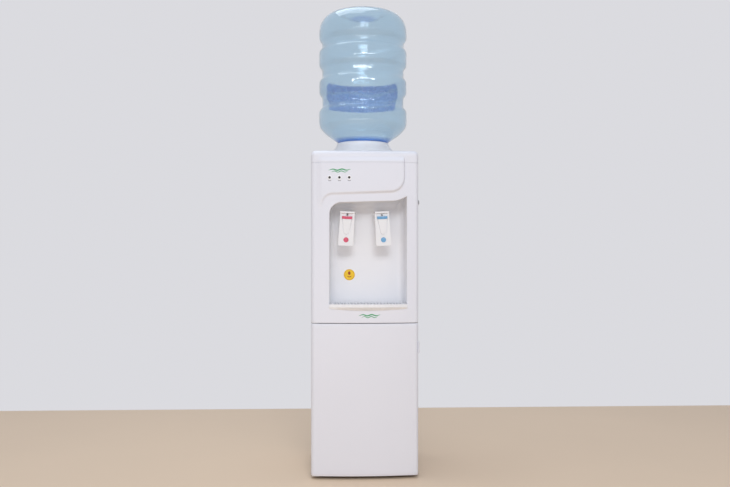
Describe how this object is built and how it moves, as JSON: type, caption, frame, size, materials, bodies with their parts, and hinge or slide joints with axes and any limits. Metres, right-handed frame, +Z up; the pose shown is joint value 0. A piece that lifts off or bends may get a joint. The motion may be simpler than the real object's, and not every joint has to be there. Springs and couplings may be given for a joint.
{
  "type": "bottled water dispenser",
  "caption": "Tall floor-standing hot and cold water dispenser with an inverted clear bottle, cup-push taps in a niche over a drip tray, and a storage cabinet with a hinged door.",
  "frame": {"origin": "centre of the footprint, at the floor under the feet", "axes": "+X to the right of someone facing the front, +Y from the front to the back, +Z up"},
  "size_m": [0.3136, 0.339, 1.384],
  "materials": {
    "white_plastic": "satin moulded",
    "tap_plastic": "gloss moulded",
    "painted_steel": "powder coated",
    "red_plastic": "gloss",
    "blue_plastic": "gloss",
    "green_plastic": "gloss",
    "bottle_plastic": "clear tinted",
    "label": "printed film",
    "rubber": "matt",
    "gasket_rubber": "matt",
    "silicone": "matt",
    "stainless_steel": "brushed",
    "foam": "foamed",
    "black_paint": "semi-gloss paint",
    "black_plastic": "matt moulded",
    "grey_plastic": "satin moulded"
  },
  "bodies": {
    "cabinet": {"front_panel": "white_plastic", "niche_liner": "white_plastic", "power_led": "black_plastic", "heating_led": "black_plastic", "cooling_led": "black_plastic", "panel_fixing_screw": "grey_plastic", "top_cover": "white_plastic", "left_side_panel": "painted_steel", "right_side_panel": "painted_steel", "rear_panel": "painted_steel", "base_plate": "black_paint", "foot_front_left": "rubber", "foot_front_right": "rubber", "foot_rear_left": "rubber", "foot_rear_right": "rubber", "storage_liner": "white_plastic", "middle_shelf": "painted_steel", "upper_hinge_bracket": "stainless_steel", "lower_hinge_bracket": "stainless_steel", "hot_tap_body": "tap_plastic", "cold_tap_body": "tap_plastic", "hot_tap_cap": "tap_plastic", "cold_tap_cap": "tap_plastic", "hot_lever_pin": "stainless_steel", "cold_lever_pin": "stainless_steel", "hot_valve_spring": "stainless_steel", "cold_valve_spring": "stainless_steel", "hot_water_hose": "silicone", "cold_water_hose": "silicone", "cold_tank": "stainless_steel", "cold_tank_insulation": "foam", "hot_tank": "stainless_steel", "heater_band": "stainless_steel", "feed_tube": "silicone", "compressor": "black_paint", "condenser": "black_paint", "switch_housing": "black_plastic", "cable_gland": "black_plastic", "drain_spout": "silicone"},
    "door": {"door_panel": "white_plastic", "door_liner": "white_plastic", "door_gasket": "gasket_rubber"},
    "bottle_seat": {"bottle_collar": "white_plastic", "feed_probe": "silicone"},
    "water_bottle": {"bottle": "bottle_plastic", "bottle_cap": "blue_plastic", "bottle_label": "label"},
    "drip_catcher": {"drip_tray": "white_plastic"},
    "grille": {"drip_grille": "white_plastic"},
    "hot_push_lever": {"hot_lever": "tap_plastic", "hot_marker": "red_plastic"},
    "hot_catch": {"hot_safety_catch": "red_plastic"},
    "hot_valve": {"hot_valve_stem": "silicone"},
    "cold_push_lever": {"cold_lever": "tap_plastic", "cold_lever_band": "blue_plastic", "cold_marker": "blue_plastic"},
    "cold_valve": {"cold_valve_stem": "silicone"},
    "heating_rocker": {"heating_switch": "red_plastic"},
    "cooling_rocker": {"cooling_switch": "green_plastic"},
    "drain_plug": {"drain_cap": "white_plastic"}
  },
  "joints": [
    {"name": "bottle_seat_lift", "type": "slide", "parent": "cabinet", "child": "bottle_seat", "axis": [0, 0, 1], "range_m": [0, 0.08]},
    {"name": "bottle_lift", "type": "slide", "parent": "bottle_seat", "child": "water_bottle", "axis": [0, 0, 1], "range_m": [0, 0.1]},
    {"name": "door_hinge", "type": "hinge", "parent": "cabinet", "child": "door", "pos_m": [-0.147, -0.1315, 0.227], "axis": [0, 0, -1], "range_deg": [0, 110]},
    {"name": "tray_slide", "type": "slide", "parent": "cabinet", "child": "drip_catcher", "axis": [0, -1, 0], "range_m": [0, 0.1]},
    {"name": "grille_lift", "type": "slide", "parent": "drip_catcher", "child": "grille", "axis": [0, 0, 1], "range_m": [0, 0.03]},
    {"name": "hot_lever_push", "type": "hinge", "parent": "cabinet", "child": "hot_push_lever", "pos_m": [-0.04874, -0.11234, 0.75698], "axis": [0.9947, -0.0898, -0.05], "range_deg": [0, 12], "stiffness_Nm_per_rad": 0.6, "springref_deg": -14.32},
    {"name": "hot_catch_slide", "type": "slide", "parent": "hot_push_lever", "child": "hot_catch", "axis": [0.0568, 0.0751, 0.9956], "range_m": [0, 0.003], "stiffness_N_per_m": 300, "springref_m": -0.002},
    {"name": "hot_valve_lift", "type": "slide", "parent": "cabinet", "child": "hot_valve", "axis": [0.0498, -0.0045, 0.9988], "range_m": [0, 0.0037], "deforming": ["hot_valve_spring"]},
    {"name": "cold_lever_push", "type": "hinge", "parent": "cabinet", "child": "cold_push_lever", "pos_m": [0.04874, -0.11234, 0.75698], "axis": [0.9947, 0.0898, 0.05], "range_deg": [0, 12], "stiffness_Nm_per_rad": 0.6, "springref_deg": -14.32},
    {"name": "cold_valve_lift", "type": "slide", "parent": "cabinet", "child": "cold_valve", "axis": [-0.0498, -0.0045, 0.9988], "range_m": [0, 0.0037], "deforming": ["cold_valve_spring"]},
    {"name": "heating_switch_rock", "type": "hinge", "parent": "cabinet", "child": "heating_rocker", "pos_m": [0.076, 0.1435, 0.85], "axis": [1, 0, 0], "range_deg": [0, 16]},
    {"name": "cooling_switch_rock", "type": "hinge", "parent": "cabinet", "child": "cooling_rocker", "pos_m": [0.104, 0.1435, 0.85], "axis": [1, 0, 0], "range_deg": [0, 16]},
    {"name": "drain_cap_pull", "type": "slide", "parent": "cabinet", "child": "drain_plug", "axis": [0, 1, 0], "range_m": [0, 0.02]}
  ],
  "couplings": [
    {"joint": "hot_valve_lift", "follows": "hot_lever_push", "m_per_rad": 0.0168},
    {"joint": "cold_valve_lift", "follows": "cold_lever_push", "m_per_rad": 0.0168}
  ]
}
